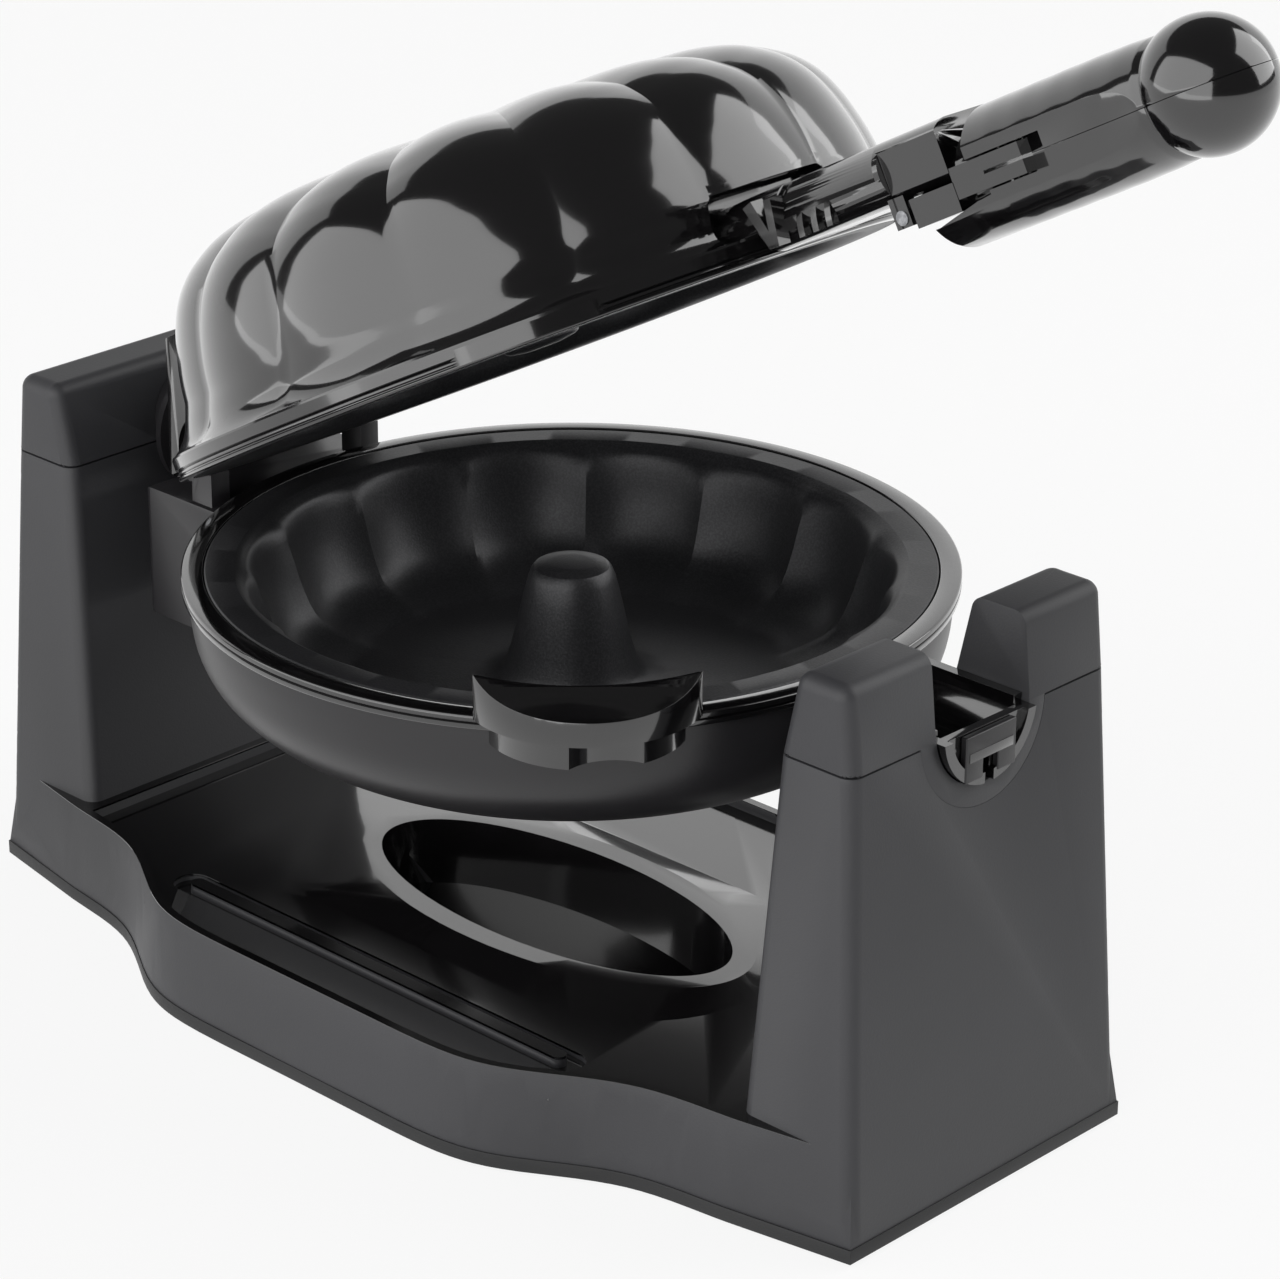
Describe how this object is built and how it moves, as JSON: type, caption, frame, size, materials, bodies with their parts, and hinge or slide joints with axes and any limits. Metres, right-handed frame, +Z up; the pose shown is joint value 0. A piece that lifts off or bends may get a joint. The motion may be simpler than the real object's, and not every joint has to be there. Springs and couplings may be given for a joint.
{
  "type": "electric cake maker",
  "caption": "Countertop cake maker with a fluted lid hinged to a round bowl that turns over between two towers, shown open.",
  "frame": {"origin": "centre of the stand's plan, on the surface that its rubber feet stand on", "axes": "+X from the hub tower to the rest tower and the handle, -Y to the front, +Z up"},
  "size_m": [0.4801, 0.25, 0.3856],
  "materials": {
    "stand_plastic": "matte",
    "cap_plastic": "satin",
    "base_plastic": "matte",
    "hub_plastic": "satin",
    "gloss_black": "gloss",
    "housing_plastic": "satin",
    "pan_coating": "non-stick coating",
    "element_steel": "dull",
    "fastener_steel": "satin",
    "foot_rubber": "matte",
    "thermostat_ceramic": "matte"
  },
  "bodies": {
    "stand": {"stand_body": "stand_plastic", "bottom_plate": "base_plastic", "rubber_feet": "foot_rubber", "base_screws": "fastener_steel", "left_tower_cap": "cap_plastic", "right_tower_cap": "cap_plastic", "hub_bush": "hub_plastic", "cord_grommet": "foot_rubber"},
    "bowl": {"hub_shaft": "hub_plastic", "hub_clip": "fastener_steel", "bowl_housing": "housing_plastic", "lower_screws": "fastener_steel", "bowl_rim": "gloss_black", "lower_pan": "pan_coating", "lower_element": "element_steel", "lower_thermostat": "thermostat_ceramic", "hinge_block": "housing_plastic", "hinge_pin": "fastener_steel", "bowl_neck": "housing_plastic", "bowl_tab": "housing_plastic"},
    "lid": {"lid_shell": "gloss_black", "lid_rim": "gloss_black", "lid_tab": "gloss_black", "upper_pan": "pan_coating", "upper_element": "element_steel", "upper_thermostat": "thermostat_ceramic", "lid_hinge_block": "gloss_black", "neck_bracket": "housing_plastic", "catch_pin": "fastener_steel"},
    "handle": {"grip_upper": "gloss_black", "grip_lower": "gloss_black", "grip_screws": "fastener_steel"}
  },
  "joints": [
    {"name": "flip", "type": "hinge", "parent": "stand", "child": "bowl", "pos_m": [0, 0, 0.159], "axis": [1, 0, 0], "range_deg": [-90, 90]},
    {"name": "lid_hinge", "type": "hinge", "parent": "bowl", "child": "lid", "pos_m": [-0.118, 0, 0.17], "axis": [0, -1, 0], "range_deg": [-28.9, 8]},
    {"name": "handle_slide", "type": "slide", "parent": "lid", "child": "handle", "axis": [-0.8755, 0, -0.4833], "range_m": [0, 0.005]}
  ]
}
